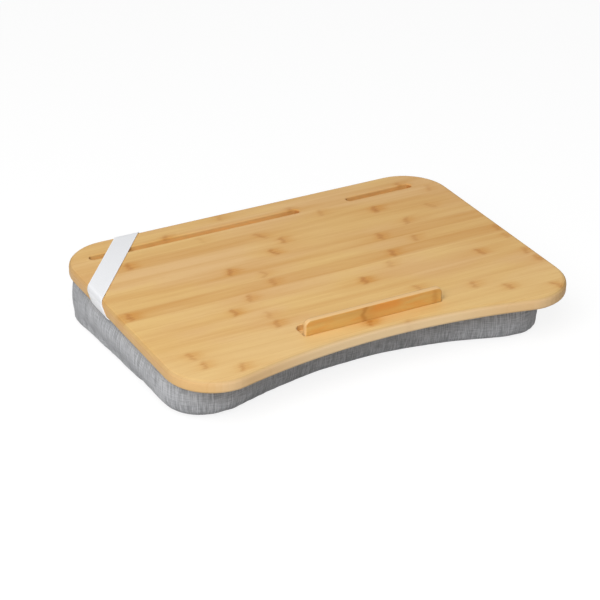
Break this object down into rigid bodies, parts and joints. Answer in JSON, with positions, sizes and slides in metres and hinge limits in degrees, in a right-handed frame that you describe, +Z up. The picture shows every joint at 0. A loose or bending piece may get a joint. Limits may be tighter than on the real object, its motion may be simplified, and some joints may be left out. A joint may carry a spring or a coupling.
{
  "type": "lap desk",
  "caption": "Bamboo lap desk with rounded corners and an inward-curved front, a fold-down stop bar, device slots and an elastic strap, on a bead-filled fabric cushion.",
  "frame": {"origin": "centre of the overall footprint, on the surface that the cushion stands on", "axes": "+X to the user's right along the width, +Y away from the user to the back edge, +Z up"},
  "size_m": [0.5114, 0.3613, 0.0872],
  "materials": {
    "bamboo": "clear satin lacquer over edge-glued bamboo strips",
    "bar_bamboo": "clear satin lacquer",
    "steel": "plain steel wire and pins",
    "white_elastic": "woven elastic webbing",
    "grey_fabric": "grey melange weave",
    "hook_strip": "hook side of hook-and-loop strip",
    "loop_strip": "loop side of hook-and-loop strip",
    "liner_cloth": "thin plain cloth",
    "foam_beads": "small foam beads, as one body"
  },
  "bodies": {
    "cushion": {"bead_filling": "foam_beads", "liner_lower": "liner_cloth", "liner_upper": "liner_cloth", "cover_bottom_panel": "grey_fabric", "cover_side_band": "grey_fabric", "cover_top_panel": "grey_fabric", "loop_tape_1": "loop_strip", "loop_tape_2": "loop_strip", "loop_tape_3": "loop_strip", "loop_tape_4": "loop_strip"},
    "tray": {"top_board": "bamboo", "hinge_pin_left": "steel", "hinge_pin_right": "steel", "corner_strap": "white_elastic", "strap_staple_1": "steel", "strap_staple_2": "steel", "strap_staple_3": "steel", "strap_staple_4": "steel", "hook_tape_1": "hook_strip", "hook_tape_2": "hook_strip", "hook_tape_3": "hook_strip", "hook_tape_4": "hook_strip"},
    "bar": {"stop_bar": "bar_bamboo"}
  },
  "joints": [
    {"name": "board_lift", "type": "slide", "parent": "cushion", "child": "tray", "axis": [0, 0, 1], "range_m": [0, 0.06]},
    {"name": "stop_bar_hinge", "type": "hinge", "parent": "tray", "child": "bar", "pos_m": [0.00065, -0.13001, 0.06571], "axis": [-1, 0, 0], "range_deg": [0, 90]}
  ]
}
